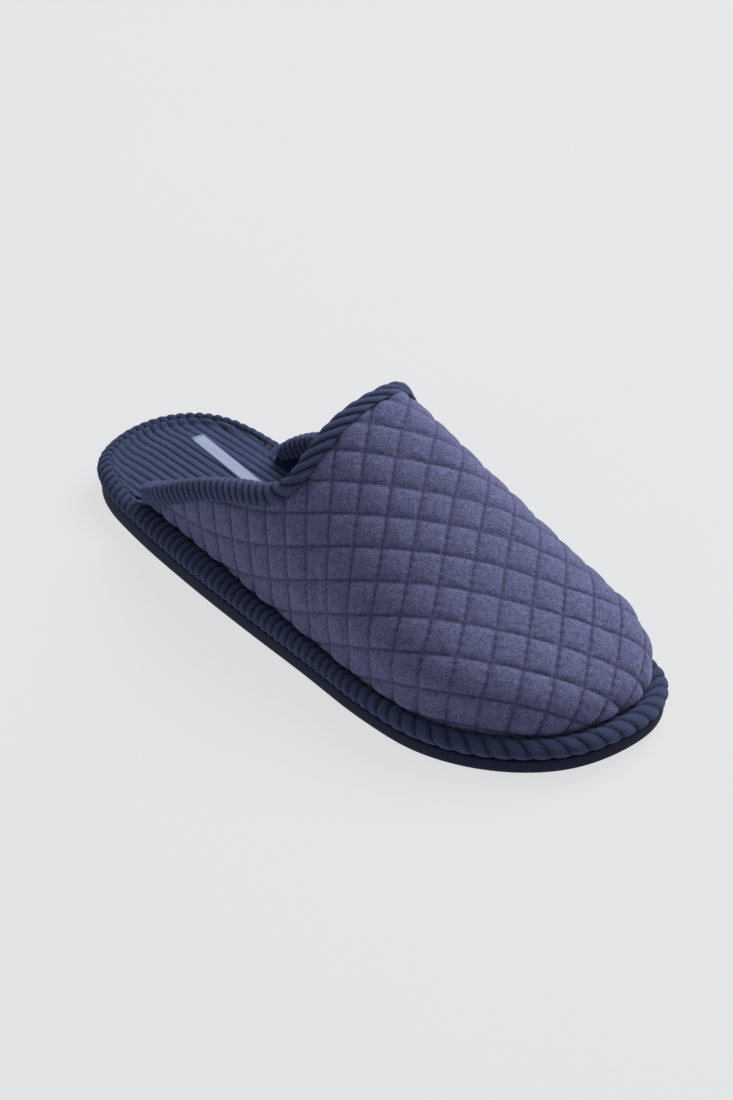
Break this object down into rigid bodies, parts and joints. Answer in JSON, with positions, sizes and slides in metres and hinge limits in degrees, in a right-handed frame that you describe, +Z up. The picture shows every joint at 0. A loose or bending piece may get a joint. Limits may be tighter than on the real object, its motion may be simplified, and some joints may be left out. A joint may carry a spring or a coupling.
{
  "type": "scuff slipper",
  "caption": "Open-heeled house slipper with a quilted fabric upper, rope-like corduroy binding, corduroy platform edge and insole, and a flat outsole.",
  "frame": {"origin": "on the floor, under the middle of the sole's box", "axes": "+Z up, +Y towards the heel, so the toe points to -Y, and +X towards the inner side of the foot"},
  "size_m": [0.1016, 0.2874, 0.099],
  "materials": {
    "outsole": "matte",
    "foxing_wrap": "corduroy",
    "insole": "corduroy",
    "upper": "quilted jersey",
    "binding": "corduroy",
    "label": "woven"
  },
  "bodies": {
    "root": {"outsole": "outsole", "foxing_wrap": "foxing_wrap", "insole": "insole", "upper": "upper", "binding": "binding", "label": "label"}
  },
  "joints": []
}
